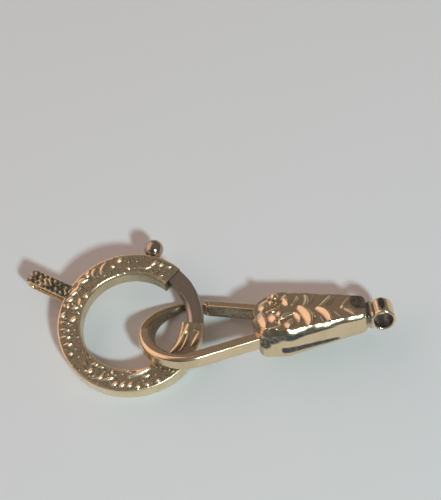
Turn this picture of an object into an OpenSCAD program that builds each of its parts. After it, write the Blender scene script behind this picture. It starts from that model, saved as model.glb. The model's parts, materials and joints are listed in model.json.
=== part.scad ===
// A gold snap hook (dog clip) closed through an engraved bolt ring, lying on a table.
// X runs along the hook from the ring to the end eye, Z is up, the table is at Z = 0.

/* [Bolt ring] */
// Outer diameter of the ring
ring_d = 14; // [13.8:0.1:14.2]
// Radial width of the squared tube
tube_w = 2.2; // [2:0.1:2.3]
// Height of the squared tube
tube_h = 1.9; // [1.8:0.05:2]
// Rounding of the tube's four edges
tube_edge = 0.3; // [0.1:0.05:0.4]
// Outer, upper and lower wall of the tube
tube_wall = 0.25; // [0.2:0.05:0.3]
// Thicker inner wall, the step that shows at the cut end
tube_inner_wall = 0.5; // [0.4:0.05:0.55]
// Angle of the receiving end of the gap
gap_from = -9; // [-12:1:-6]
// Angle of the cut end of the gap
gap_to = 44; // [40:1:46]

/* [Bolt] */
// Clearance round the sliding bolt
bolt_clear = 0.04; // [0.03:0.01:0.06]
// Angle that the closed bolt reaches into the receiving end
bolt_seat = 3; // [2:0.5:4]
// Angle of the thumb knob
knob_at = 71; // [70:1:73]
// Diameter of the thumb knob
knob_d = 1.9; // [1.7:0.1:2]
// Diameter of the knob's neck
neck_d = 0.8; // [0.7:0.05:0.9]

/* [Bail] */
// Angle at which the bail stands out from the ring
bail_at = 148; // [147:1:150]
// How far the bail stands out from the ring
bail_reach = 4.5; // [4.2:0.1:4.8]
// Height of the bail's flattened loop
bail_h = 1.8; // [1.7:0.05:1.9]
// Width of the bail's band
bail_w = 1.3; // [1.1:0.1:1.5]
// Thickness of the bail's band
bail_wall = 0.35; // [0.3:0.05:0.4]

/* [Snap hook body] */
// Length of the body along its side
body_len = 10.3; // [10.1:0.1:10.5]
// Width of the body at its round end
body_w = 6.1; // [6:0.1:6.2]
// Width of the body at its narrow end
body_end_w = 2.8; // [2.6:0.1:3]
// Thickness of the body at its round end
body_t = 3; // [2.9:0.1:3.1]
// Thickness of the body at its narrow end
body_end_t = 2.4; // [2.3:0.1:2.5]
// Wall of the hollow body
body_wall = 0.55; // [0.5:0.05:0.6]
// Height of the cast relief over the body's face
relief_h = 0.22; // [0.1:0.02:0.3]

/* [Loop and gate] */
// Outer radius of the loop's round tip
loop_r = 4.55; // [4.5:0.05:4.6]
// Centre of the loop's tip, along the hook
loop_x = -6.75; // [-6.8:0.05:-6.7]
// Width of the fixed arm
arm_w = 1.1; // [1.05:0.05:1.2]
// Height of the fixed arm
arm_h = 1.3; // [1.2:0.05:1.4]
// Angle at which the loop thins down from its tip to the nose
nose_drop = 7; // [6.5:0.5:8]
// Width of the gate
gate_w = 1; // [0.9:0.05:1.1]
// Height of the gate
gate_h = 1.3; // [1.25:0.05:1.35]
// Where the gate meets the fixed nose, along the hook
gate_tip = -4.7; // [-4.8:0.05:-4.6]
// Radius of the gate's pivot pin
pin_r = 0.4; // [0.35:0.05:0.45]
// Opening angle of the gate, inward
gate_open = 25; // [20:1:26]

/* [End eye] */
// Outer radius of the end eye
eye_r = 1.12; // [1.08:0.02:1.2]
// Radius of the eye's hole
eye_bore = 0.85; // [0.8:0.05:0.9]
// Length of the eye's tube, across the hook
eye_len = 2.1; // [1.9:0.1:2.3]

/* [Rest on the table] */
// Tilt of the ring, far side up
ring_tilt = 6.9; // [6.8:0.1:7]
// Roll of the ring, right side up
ring_roll = 0.3; // [0.1:0.1:0.5]
// Tilt of the hook, near side up
hook_tilt = 22.5; // [22.3:0.1:22.7]
// Turn of the hook in its own plane, narrow end towards the near side
hook_turn = 3.7; // [3.5:0.1:3.9]
// Height of the middle of the hook over the table
hook_z = 2.48; // [2.47:0.01:2.5]

/* [Hidden] */
gold = "goldenrod";
pale_gold = "khaki";
$fn = 72;

ring_r = ring_d / 2;
ring_pos = [-7.221, -0.625];
hook_pos = [4.694, -2.749];
// The lowest point of the tilted ring's rounded lower edge stands on the table
ring_lean = acos(cos(ring_tilt) * cos(ring_roll));
ring_lift = (ring_r - tube_edge) * sin(ring_lean) - tube_edge * (1 - cos(ring_lean));

bore_in = ring_r - tube_w + tube_inner_wall;
bore_out = ring_r - tube_wall;
bolt_in = bore_in + bolt_clear;
bolt_out = bore_out - bolt_clear;
bolt_h = tube_h - 2 * tube_wall - 2 * bolt_clear;
bolt_travel = gap_to - gap_from + bolt_seat - 1;
bolt_tail = knob_at + 8;
knob_r = ring_r + knob_d / 2 + 0.1;

end_r = body_w / 2;
end_x = end_r - 0.45;
narrow_x = body_len - 0.45;
corner_r = 0.5;
// Smaller rounding that squares the near corner of the round end, beside the arm
near_corner = [1.1, -1.8, 1.15];
// The upper face stays level, so the thinner end's middle lies higher
narrow_rise = (body_t - body_end_t) / 2 - 0.1;
eye_x = narrow_x + eye_r + 0.5;
eye_z = 0.3;
loop_y = -0.1;
loop_hole = [-6.5, 0.05, 3.95];
arm_lean = 19.7;
arm_z = -0.26;
gate_z = -0.26;
gate_pivot = [1.65, 1.8];
gate_tip_y = 3.33;
gate_play = 0.03;
gate_reach = norm([gate_tip - gate_pivot[0], gate_tip_y - gate_pivot[1]]);

// Point of the outer tangent of two circles [x, y, r], on the circle named by which
function tangent_point(a, b, which, side = 1) =
    let (
        d = norm([b[0] - a[0], b[1] - a[1]]),
        turn = atan2(b[1] - a[1], b[0] - a[0]) + side * acos((a[2] - b[2]) / d),
        c = which == 0 ? a : b
    )
    [c[0] + c[2] * cos(turn), c[1] + c[2] * sin(turn)];

// Places its children from the hook's own frame onto the table
module place_hook() {
    translate([hook_pos[0], hook_pos[1], hook_z])
        rotate([-hook_tilt, 0, 0]) rotate(-hook_turn)
            children();
}

// Places its children from the ring's own frame, with its base at Z = 0, onto the table
module place_ring() {
    translate([ring_pos[0], ring_pos[1], ring_lift])
        rotate([ring_tilt, -ring_roll, 0])
            children();
}

// Rectangle with rounded corners, from corner p to corner q
module rounded_box_2d(p, q, r) {
    union() {
        translate([p[0] + r, p[1]]) square([q[0] - p[0] - 2 * r, q[1] - p[1]]);
        translate([p[0], p[1] + r]) square([q[0] - p[0], q[1] - p[1] - 2 * r]);
        for (x = [p[0] + r, q[0] - r], y = [p[1] + r, q[1] - r])
            translate([x, y]) circle(r);
    }
}

// Leaf strokes and bars chased on the ring's upper face, half sunk
module ring_relief() {
    mid_r = ring_r - tube_w / 2;
    bar_r = 0.13;
    // Short radial bars on the left
    for (a = [174 : 7 : 202])
        rotate(a) translate([mid_r - 0.1, 0, tube_h]) rotate([0, 90, 0])
            cylinder(r = bar_r, h = 0.75);
    // Pairs of slanted leaf strokes, on the upper left and along the bottom
    for (span = [[88, 164], [222, 296]], a = [span[0] : 7.6 : span[1]], side = [-1, 1])
        rotate(a) translate([mid_r + side * 0.08, 0, tube_h])
            rotate(side * 40 + (side < 0 ? 180 : 0)) rotate([0, 90, 0])
                cylinder(r = bar_r, h = 0.75);
}

// Hollow squared tube of the ring, open at both ends of the gap, with its soldered bail
module ring_tube() {
    color(gold) place_ring() {
        difference() {
            union() {
                rotate(gap_to) rotate_extrude(angle = 360 - gap_to + gap_from)
                    rounded_box_2d([ring_r - tube_w, 0], [ring_r, tube_h], tube_edge);
                bail();
                ring_relief();
            }
            rotate(gap_to - 1) rotate_extrude(angle = 362 - gap_to + gap_from)
                translate([bore_in, tube_wall])
                    square([bore_out - bore_in, tube_h - 2 * tube_wall]);
            knob_slot();
        }
    }
}

// Slot in the outer wall that the knob's neck runs along
module knob_slot() {
    slot_w = neck_d + 0.16;
    mid = (bore_in + bore_out) / 2;
    rotate(knob_at) rotate_extrude(angle = bolt_travel)
        translate([mid, (tube_h - slot_w) / 2]) square([ring_r + 1 - mid, slot_w]);
    for (a = [knob_at, knob_at + bolt_travel])
        rotate(a) translate([mid, 0, tube_h / 2]) rotate([0, 90, 0])
            cylinder(d = slot_w, h = ring_r + 1 - mid);
}

// Flattened loop of band on the ring's outer wall
module bail() {
    half = bail_h / 2;
    hole = half - bail_wall;
    near = ring_r + 0.25 + hole;
    far = ring_r + bail_reach - half;
    root = ring_r - tube_wall / 2;
    rotate(bail_at) translate([0, bail_w / 2, tube_h / 2]) rotate([90, 0, 0])
        linear_extrude(bail_w) difference() {
            union() {
                translate([root, -half]) square([far - root, bail_h]);
                translate([far, 0]) circle(half);
            }
            translate([near, -hole]) square([far - near, 2 * hole]);
            for (x = [near, far]) translate([x, 0]) circle(hole);
        }
}

// Curved bolt that closes the ring's gap, with its thumb knob
module ring_bolt() {
    color(pale_gold) place_ring() {
        rotate(gap_from - bolt_seat) rotate_extrude(angle = bolt_tail - gap_from + bolt_seat)
            rounded_box_2d([bolt_in, (tube_h - bolt_h) / 2],
                           [bolt_out, (tube_h + bolt_h) / 2], 0.3);
        rotate(knob_at) translate([bolt_out - 0.4, 0, tube_h / 2]) rotate([0, 90, 0])
            cylinder(d = neck_d, h = knob_r - bolt_out + 0.4);
        rotate(knob_at) translate([knob_r, 0, tube_h / 2]) sphere(d = knob_d);
    }
}

// Plan of the body's inside, drawn in by inset on every side
module body_plan(inset) {
    big = [end_x, 0, end_r - inset];
    tip = [narrow_x - corner_r - inset, body_end_w / 2 - corner_r, 0.1];
    low = [tip[0], -tip[1], tip[2]];
    union() {
        translate([big[0], 0]) circle(big[2]);
        polygon([
            tangent_point(big, tip, 0), tangent_point(big, tip, 1),
            [tip[0] + tip[2], tip[1]], [tip[0] + tip[2], -tip[1]],
            tangent_point(big, low, 1, -1), tangent_point(big, low, 0, -1)
        ]);
        for (side = [-1, 1]) translate([tip[0], side * tip[1]]) circle(tip[2]);
    }
}

// Disc with rounded rims, centred on its own middle
module soft_disc(r, t, edge) {
    rotate_extrude($fn = 48) union() {
        translate([0, -t / 2]) square([r - edge, t]);
        translate([0, edge - t / 2]) square([r, t - 2 * edge]);
        for (z = [-1, 1]) translate([r - edge, z * (t / 2 - edge)]) circle(edge, $fn = 24);
    }
}

// Outer form of the body, round at the loop and narrow at the eye
module body_shell() {
    hull() {
        translate([end_x, 0, 0]) soft_disc(end_r, body_t, 0.4);
        translate([near_corner[0], near_corner[1], 0]) soft_disc(near_corner[2], body_t, 0.4);
        for (side = [-1, 1])
            translate([narrow_x - corner_r, side * (body_end_w / 2 - corner_r), narrow_rise])
                soft_disc(corner_r, body_end_t, corner_r / 2);
    }
}

// Straight bar with square ends between two points of the plan
module bar_2d(a, b, w) {
    run = b - a;
    translate(a) rotate(atan2(run[1], run[0])) translate([0, -w / 2]) square([norm(run), w]);
}

// Plan of the fixed arm, the round tip and the tapered nose
module loop_plan() {
    // The bar stands a hair proud of the round tip and starts a little inside it
    proud = 0.01;
    reach = loop_r - arm_w / 2 + proud;
    run = [cos(arm_lean), sin(arm_lean)];
    arm_from = [loop_x, loop_y] + reach * [sin(arm_lean), -cos(arm_lean)];
    bar_2d(arm_from - 0.15 * run, arm_from + 6.9 * run, arm_w);
    difference() {
        translate([loop_x, loop_y]) circle(loop_r);
        translate([loop_hole[0], loop_hole[1]]) circle(loop_hole[2]);
        polygon([arm_from + [-0.1, 0.3], arm_from + [0.19, -0.52], [0, -4], [0, 6], [-6.5, 6], [-6.5, 0]]);
    }
    // The nose runs on from the crescent and widens to the gate's width
    tip_x = gate_tip + 0.2;
    polygon([[-6.55, 4.44], [-6.55, 3.95], [tip_x, gate_tip_y - gate_w / 2], [tip_x, gate_tip_y + gate_w / 2],
             [-5.9, 4.3]]);
}

// Slope that thins the far side of the loop down to the nose, under the bolt
module nose_slope() {
    translate([loop_x - 5, 0.2, arm_z + arm_h / 2]) rotate([-nose_drop, 0, 0]) cube([8, 8, 3]);
}

// Room inside the body that the gate swings in, with its slot through the round end
module gate_room() {
    h = gate_h + 0.2;
    aim = atan2(gate_tip_y - gate_pivot[1], gate_tip - gate_pivot[0]);
    far = 5;
    translate([gate_pivot[0], gate_pivot[1], gate_z - h / 2]) linear_extrude(h) union() {
        for (turn = [-1, gate_open + 1]) rotate(aim + turn) translate([0, -gate_w / 2 - 0.06])
            square([far, gate_w + 0.12]);
        polygon([[0, 0], far * [cos(aim - 1), sin(aim - 1)],
                 far * [cos(aim + gate_open + 1), sin(aim + gate_open + 1)]]);
        circle(r = 0.86);
    }
}

// Disc whose edge runs through p and q and rises sag to the left of the run between them
module disc_through(p, q, sag) {
    half = norm(q - p) / 2;
    r = (half * half + sag * sag) / (2 * sag);
    left = [p[1] - q[1], q[0] - p[0]] / (2 * half);
    mid = (p + q) / 2 + left * (sag - r);
    translate(mid) circle(r);
}

// Raised crescent between p and q, bulging to the left of the run between them
module lobe(p, q, sag, w) {
    root = 0.3;
    translate([0, 0, body_t / 2 - root]) linear_extrude(root + relief_h) difference() {
        disc_through(p, q, sag + w);
        disc_through(p, q, sag);
    }
}

// Lobe and its mirror image over the body's middle line
module lobe_pair(p, q, sag, w) {
    lobe(p, q, sag, w);
    mirror([0, 1, 0]) lobe(p, q, sag, w);
}

// Petals along the round end, paired scrolls and leaf chevrons standing up from the body's face
module body_relief() {
    petal = 0.42;
    for (p = [[0.8, 2.1], [0.37, 1.05], [0.23, -0.1], [0.33, -1.15], [0.55, -2.15]])
        translate([p[0], p[1], body_t / 2 - petal + relief_h]) sphere(petal, $fn = 32);
    // First and second pairs of scrolls
    lobe_pair([1.1, 0.3], [2.0, 1.3], 0.15, 0.5);
    lobe_pair([2.7, 0.5], [2.6, 2.4], 0.1, 0.5);
    lobe_pair([3.75, 1.85], [3.0, 0.6], 0.1, 0.5);
    // Leaf chevrons, each a pair of lobes that meet on the middle line
    lobe_pair([4.45, 2.2], [3.8, 0.05], 0.1, 0.8);
    lobe_pair([6.5, 1.8], [5.45, 0.05], 0.05, 0.6);
    lobe_pair([8.6, 1.3], [7.75, 0.05], 0.02, 0.45);
}

// Raised rim round the body's round end
module body_rim() {
    translate([end_x, 0, body_t / 2 - 0.02]) rotate(105) rotate_extrude(angle = 120)
        translate([end_r - 0.42, 0]) circle(0.17);
}

// Body, fixed arm, nose and end eye, soldered up as one piece
module hook_body() {
    color(gold) difference() {
        place_hook() hook_solid();
        // The nose's underside is worn flat where it rests on the table
        translate([hook_pos[0] - 16, hook_pos[1], -2]) cube([15, 8, 2]);
    }
}

// The hook's body, arm and eye in the hook's own frame
module hook_solid() {
    difference() {
        union() {
            difference() {
                union() {
                    body_shell();
                    body_rim();
                    body_relief();
                }
                translate([0, 0, -body_t / 2 + body_wall])
                    linear_extrude(body_t - 2 * body_wall) body_plan(body_wall);
                gate_room();
            }
            difference() {
                translate([0, 0, arm_z - arm_h / 2]) linear_extrude(arm_h) loop_plan();
                translate([end_x, 0, -body_t]) cylinder(r = end_r - body_wall + 0.1, h = 2 * body_t);
                intersection() {
                    translate([gate_pivot[0], gate_pivot[1], -body_t])
                        cylinder(r = gate_reach + gate_play, h = 2 * body_t);
                    translate([gate_tip - 1.5, 2, -body_t]) cube([3, 3, 2 * body_t]);
                }
                nose_slope();
            }
            translate([narrow_x - 0.3, -0.9, eye_z - 0.85]) cube([1.1, 1.8, 1.7]);
            translate([eye_x, eye_len / 2, eye_z]) rotate([90, 0, 0]) cylinder(r = eye_r, h = eye_len);
        }
        translate([eye_x, eye_len, eye_z]) rotate([90, 0, 0]) cylinder(r = eye_bore, h = 2 * eye_len);
        translate([gate_pivot[0], gate_pivot[1], -body_t]) cylinder(r = pin_r + 0.01, h = 2 * body_t);
    }
}

// Gate bar with its pivot eye, closed against the nose
module hook_gate() {
    color(gold) place_hook() translate([0, 0, gate_z - gate_h / 2]) difference() {
        linear_extrude(gate_h) union() {
            intersection() {
                bar_2d(gate_pivot, gate_pivot + 1.1 * ([gate_tip, gate_tip_y] - gate_pivot), gate_w);
                translate(gate_pivot) circle(gate_reach, $fn = 144);
            }
            translate(gate_pivot) circle(r = 0.8);
        }
        translate([gate_pivot[0], gate_pivot[1], -1]) cylinder(r = pin_r + 0.04, h = gate_h + 2);
    }
}

// Pin that carries the gate, with a domed head on the body's face
module gate_pin() {
    color(pale_gold) place_hook() translate([gate_pivot[0], gate_pivot[1], 0]) {
        translate([0, 0, -body_t / 2]) cylinder(r = pin_r, h = body_t + 0.1);
        translate([0, 0, body_t / 2 + 0.25]) sphere(0.45);
    }
}

ring_tube();
ring_bolt();
hook_body();
hook_gate();
gate_pin();
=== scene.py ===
"""A pale gold snap hook closed through an engraved bolt ring, dressed round its construction model.

Lengths are millimetres in the frame of the ring or of the hook, until a placement carries them to metres.
"""

import json
import logging
import math
from dataclasses import dataclass, field, replace
from enum import Enum
from functools import partial

import bmesh
import bpy
import numpy as np
from mathutils import Matrix, Vector


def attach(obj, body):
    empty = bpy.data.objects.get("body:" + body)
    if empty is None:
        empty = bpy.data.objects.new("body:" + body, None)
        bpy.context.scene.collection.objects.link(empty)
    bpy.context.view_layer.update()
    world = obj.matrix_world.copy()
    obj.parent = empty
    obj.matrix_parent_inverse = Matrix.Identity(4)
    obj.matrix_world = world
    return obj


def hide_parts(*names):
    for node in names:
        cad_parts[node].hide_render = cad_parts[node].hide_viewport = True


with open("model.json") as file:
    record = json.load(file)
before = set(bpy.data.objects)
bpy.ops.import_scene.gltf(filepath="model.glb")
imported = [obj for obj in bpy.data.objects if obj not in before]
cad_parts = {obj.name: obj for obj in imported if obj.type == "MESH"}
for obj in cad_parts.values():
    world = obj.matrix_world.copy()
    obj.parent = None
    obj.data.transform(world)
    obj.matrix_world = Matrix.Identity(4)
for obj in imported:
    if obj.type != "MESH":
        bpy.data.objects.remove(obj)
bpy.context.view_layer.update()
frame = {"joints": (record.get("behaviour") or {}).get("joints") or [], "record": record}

Array = np.ndarray
Pair = tuple[float, float]
Triple = tuple[float, float, float]
Quad = tuple[float, float, float, float]
Shape = bmesh.types.BMesh
Verts = list[bmesh.types.BMVert]
Tree = bpy.types.NodeTree
Socket = bpy.types.NodeSocket
MM = 0.001
WELD = 1e-4
FLAT = 0.9
# Name of the per-vertex amount of dark tone: tarnish in hollows, plus painted shade and painted dark
# reflections on some walls, bores and bands.
TARNISH_AND_SHADE = "recess"
ORIGIN = (0, 0, 0)
GATE_PIVOT = (1.65, 1.8, -0.26)

log = logging.getLogger("snap_hook")


def joint(name: str) -> dict:
    """Finds a joint of the construction model by its name."""
    return next(row for row in frame["joints"] if row["name"] == name)


def mount_axis(name: str) -> Vector:
    """Gives the direction of a mount of the construction model."""
    return Vector(next(row["axis"] for row in frame["record"]["mounts"] if row["name"] == name)).normalized()


def placement(x: Vector, y: Vector, z: Vector, origin: Vector) -> Matrix:
    """Builds the matrix that carries millimetres along three axes to metres in the model.

    Args:
        x: Direction of the local X axis.
        y: Direction of the local Y axis.
        z: Direction of the local Z axis.
        origin: Place of the local origin, in metres.

    Returns:
        The matrix, with the change of unit in it.
    """
    turned = Matrix((x, y, z)).transposed().to_4x4()
    return Matrix.Translation(origin) @ turned @ Matrix.Scale(MM, 4)


def ring_placement() -> Matrix:
    """Finds the ring's frame: the centre of its lower face, with Z along the bolt's pivot axis.

    Returns:
        The frame's placement.
    """
    z = Vector(joint("bolt_slide")["axis"]).normalized()
    x = Vector((z.z, 0, -z.x)).normalized()
    return placement(x, z.cross(x), z, Vector(joint("bolt_slide")["pos_m"]))


def hook_placement() -> Matrix:
    """Finds the hook's frame, with Z along the gate's pin and Y along the end eye.

    Returns:
        The frame's placement.
    """
    pin = joint("gate_hinge")
    z = Vector(pin["axis"]).normalized()
    y = mount_axis("end_eye")
    turned = placement(y.cross(z).normalized(), y, z, Vector())
    return Matrix.Translation(Vector(pin["pos_m"]) - turned @ Vector(GATE_PIVOT)) @ turned


def coords(shape: Shape) -> Array:
    """Reads the places of all vertices of a shape."""
    return np.array([vert.co[:] for vert in shape.verts])


def sheet(rows: int, columns: int) -> tuple[Shape, Array, Array]:
    """Makes a flat grid, to be laid along a piece and round its section.

    Args:
        rows: How many steps it has along the piece.
        columns: How many steps it has round the section.

    Returns:
        The grid, with the share u of the way along and v of the way round at each vertex.
    """
    shape = bmesh.new()
    bmesh.ops.create_grid(shape, x_segments=rows, y_segments=columns, size=0.5)
    shift(shape, (0.5, 0.5, 0))
    return shape, *coords(shape).T[:2]


def rod(shape: Shape, radius: float, length: float, segments: int = 40) -> Verts:
    """Adds an upright round rod about the origin, and gives its vertices."""
    return bmesh.ops.create_cone(shape, cap_ends=True, segments=segments, radius1=radius, radius2=radius,
                                 depth=length)["verts"]


def ball(shape: Shape, radius: float, around: int, down: int) -> Verts:
    """Adds a ball about the origin, and gives its vertices."""
    return bmesh.ops.create_uvsphere(shape, u_segments=around, v_segments=down, radius=radius)["verts"]


def shift(shape: Shape, by: Triple, verts: Verts | None = None) -> None:
    """Moves a whole shape, or the given vertices of it."""
    bmesh.ops.translate(shape, verts=verts or shape.verts, vec=by)


def turn(shape: Shape, degrees: float, axis: str = "Z", verts: Verts | None = None) -> None:
    """Turns a whole shape, or the given vertices of it, about an axis through the origin."""
    bmesh.ops.rotate(shape, verts=verts or shape.verts, cent=ORIGIN,
                     matrix=Matrix.Rotation(math.radians(degrees), 3, axis))


def face_out(shape: Shape) -> None:
    """Turns the faces of a closed shape outwards."""
    bmesh.ops.recalc_face_normals(shape, faces=shape.faces)


def formed(shape: Shape, places: Array, recess: Array) -> Shape:
    """Brings a shape into its form, welds its seams, caps what is open and turns its faces outwards.

    Args:
        shape: A sheet, or a spun shape.
        places: Where each vertex goes.
        recess: How strongly each vertex takes the dark tone, from 0 to 1, for tarnish in hollows and for
            painted shade and painted dark reflections.

    Returns:
        The same shape, with that amount stored on its vertices.
    """
    layer = shape.verts.layers.float.new(TARNISH_AND_SHADE)
    for vert, place, value in zip(shape.verts, places, recess):
        vert.co = place
        vert[layer] = float(value)
    bmesh.ops.remove_doubles(shape, verts=shape.verts, dist=WELD)
    rims = [edge for edge in shape.edges if edge.is_boundary]
    if rims:
        bmesh.ops.holes_fill(shape, edges=rims, sides=0)
    face_out(shape)
    return shape


def worn_flat(shape: Shape, place: Matrix) -> Shape:
    """Presses flat on the floor whatever of a shape would reach below it.

    Args:
        shape: The shape, in its local frame.
        place: Placement of the local frame.

    Returns:
        The same shape.
    """
    back = place.inverted()
    for vert in shape.verts:
        spot = place @ vert.co
        if spot.z < 0:
            vert.co = back @ Vector((spot.x, spot.y, 0))
    return shape


def ease(low: float, high: float, value: Array) -> Array:
    """Rises from 0 at low to 1 at high with soft ends."""
    share = np.clip((value - low) / (high - low), 0, 1)
    return share * share * (3 - 2 * share)


def mixed(parts: Pair, share: Array) -> Array:
    """Adds a share of the second part to the whole of the first."""
    return parts[0] + parts[1] * share


def hump(place: Pair, value: Array) -> Array:
    """Rises softly to 1 round a place, given by its middle and its half width."""
    return np.exp(-((value - place[0]) / place[1]) ** 2)


def between(value: Array, start: float, full: float, last: float, end: float) -> Array:
    """Rises from 0 at start to 1 at full, and falls from 1 at last to 0 at end."""
    return ease(start, full, value) * ease(end, last, value)


def spots(across: Array, up: Array, *ovals: Quad) -> Array:
    """Gives how strongly soft oval spots cover each place, from 0 to 1.

    Args:
        across: First coordinates of the places.
        up: Second coordinates of the places.
        *ovals: Middle and half sizes of each spot.

    Returns:
        The cover at each place.
    """
    cover = [((across - x) / wide) ** 2 + ((up - z) / high) ** 2 for x, z, wide, high in ovals]
    return ease(1.2, 0.5, np.min(cover, axis=0))


def rays(angles: Array) -> Array:
    """Gives the directions at some angles, as rows."""
    return np.stack([np.cos(angles), np.sin(angles)], 1)


def even_steps(line: Array, steps: int, *tracks: Array) -> list[Array]:
    """Reads rows of pairs again at even steps along a line.

    Args:
        line: Points of the line.
        steps: How many steps the line gets.
        *tracks: Rows of pairs that belong to the points.

    Returns:
        Each track, read at the even steps.
    """
    way = np.concatenate(([0], np.cumsum(np.linalg.norm(np.diff(line, axis=0), axis=1))))
    even = np.linspace(0, way[-1], steps + 1)
    return [np.stack([np.interp(even, way, track[:, i]) for i in (0, 1)], 1) for track in tracks]


def squared_section(walk: Array, half_w: Array | float, half_h: Array | float, edge: Array | float,
                    top: float = 0.3, bottom: float = 0.2, corner: float = 0.06) -> list[Array]:
    """Walks round a squared section with rounded edges, from the middle of its lower side.

    Args:
        walk: Share of the way round, from 0 to 1.
        half_w: Half the width of the section.
        half_h: Half the height of the section.
        edge: Radius of the rounded edges.
        top: Share of the steps on the upper side.
        bottom: Share of the steps on the lower side.
        corner: Share of the steps on each rounded edge.

    Returns:
        The place across, the place up, and the outward normal's two parts.
    """
    side = (1 - top - bottom - 4 * corner) / 2
    shares = np.array([bottom / 2, corner, side, corner, top, corner, side, corner, bottom / 2])
    stops = np.concatenate(([0], np.cumsum(shares)))
    leg = np.clip(np.searchsorted(stops, walk, side="right") - 1, 0, len(shares) - 1)
    share = np.clip((walk - stops[leg]) / shares[leg], 0, 1)
    from_x, to_x, from_y, to_y, facing = np.array([
        (0, 1, -1, -1, -90), (1, 1, -1, -1, -90), (1, 1, -1, 1, 0), (1, 1, 1, 1, 0), (1, -1, 1, 1, 90),
        (-1, -1, 1, 1, 90), (-1, -1, 1, -1, 180), (-1, -1, -1, -1, 180), (-1, 0, -1, -1, 270)])[leg].T
    angle = np.radians(facing + 90 * share * (leg % 2))
    middle_x = (half_w - edge) * (from_x + (to_x - from_x) * share)
    middle_y = (half_h - edge) * (from_y + (to_y - from_y) * share)
    return [middle_x + edge * np.cos(angle), middle_y + edge * np.sin(angle), np.cos(angle), np.sin(angle)]


@dataclass(frozen=True)
class Leaf:
    """One raised stroke of the cast or chased ornament, in millimetres of its face.

    The stroke runs from x, y to to_x, to_y and bulges to the left of its run. Its crest leans to the left
    with a positive lean. The width is half the stroke's own. The tables give the first eight values in turn.
    """

    x: float
    y: float
    to_x: float
    to_y: float
    bulge: float = 0.0
    width: float = 0.15
    height: float = 0.14
    lean: float = 0.0
    steps: int = 8
    tip: float = 0.25
    taper: float = 0.6
    crown: float = 1.6

    def path(self) -> Array:
        """Draws the stroke's middle line, on a shallow bow.

        Returns:
            The points of the line.
        """
        share = np.linspace(0, 1, self.steps + 1)[:, None]
        start, end = np.array((self.x, self.y)), np.array((self.to_x, self.to_y))
        run = end - start
        left = np.array([-run[1], run[0]]) / np.linalg.norm(run)
        return start + run * share + left * self.bulge * 4 * share * (1 - share)

    def rise(self, x: Array, y: Array) -> Array:
        """Works out how high the stroke stands at each place.

        Args:
            x: First coordinates of the places.
            y: Second coordinates of the places.

        Returns:
            The height over the ground at each place.
        """
        path = self.path()
        low, high = path.min(0) - self.width, path.max(0) + self.width
        near = np.flatnonzero((x > low[0]) & (x < high[0]) & (y > low[1]) & (y < high[1]))
        heights = np.zeros(len(x))
        if not len(near):
            return heights
        spot = np.stack([x[near], y[near]], 1)[:, None]
        head, run = path[:-1][None], np.diff(path, axis=0)[None]
        share = np.clip(((spot - head) * run).sum(2) / (run ** 2).sum(2), 0, 1)
        away = spot - head - run * share[..., None]
        closest = np.linalg.norm(away, axis=2).argmin(1)
        rows = np.arange(len(near))
        gone, step = away[rows, closest], run[0][closest]
        along = np.clip((closest + share[rows, closest]) / self.steps, 0, 1)
        side = np.sign(step[:, 0] * gone[:, 1] - step[:, 1] * gone[:, 0])
        width = self.width * (self.tip + (1 - self.tip) * np.sin(np.pi * along) ** self.taper)
        offset = side * np.linalg.norm(gone, axis=1) / width
        flank = np.where(offset > self.lean, (1 - offset) / (1 - self.lean), (1 + offset) / (1 + self.lean))
        crest = 1 - (1 - np.clip(flank, 0, 1)) ** self.crown
        heights[near] = self.height * crest * np.sqrt(width / self.width)
        return heights


def ornament(leaves: list[Leaf], x: Array, y: Array) -> Array:
    """Stands every leaf on one ground, the higher over the lower."""
    return np.max([leaf.rise(x, y) for leaf in leaves], axis=0)


def foot(leaves: list[Leaf], x: Array, y: Array, reach: float) -> Array:
    """Finds the ground close round the leaves, as 1 beside a leaf and 0 beyond reach."""
    return ornament([replace(leaf, width=leaf.width + reach, height=1.0, lean=0.0) for leaf in leaves], x, y)


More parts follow.
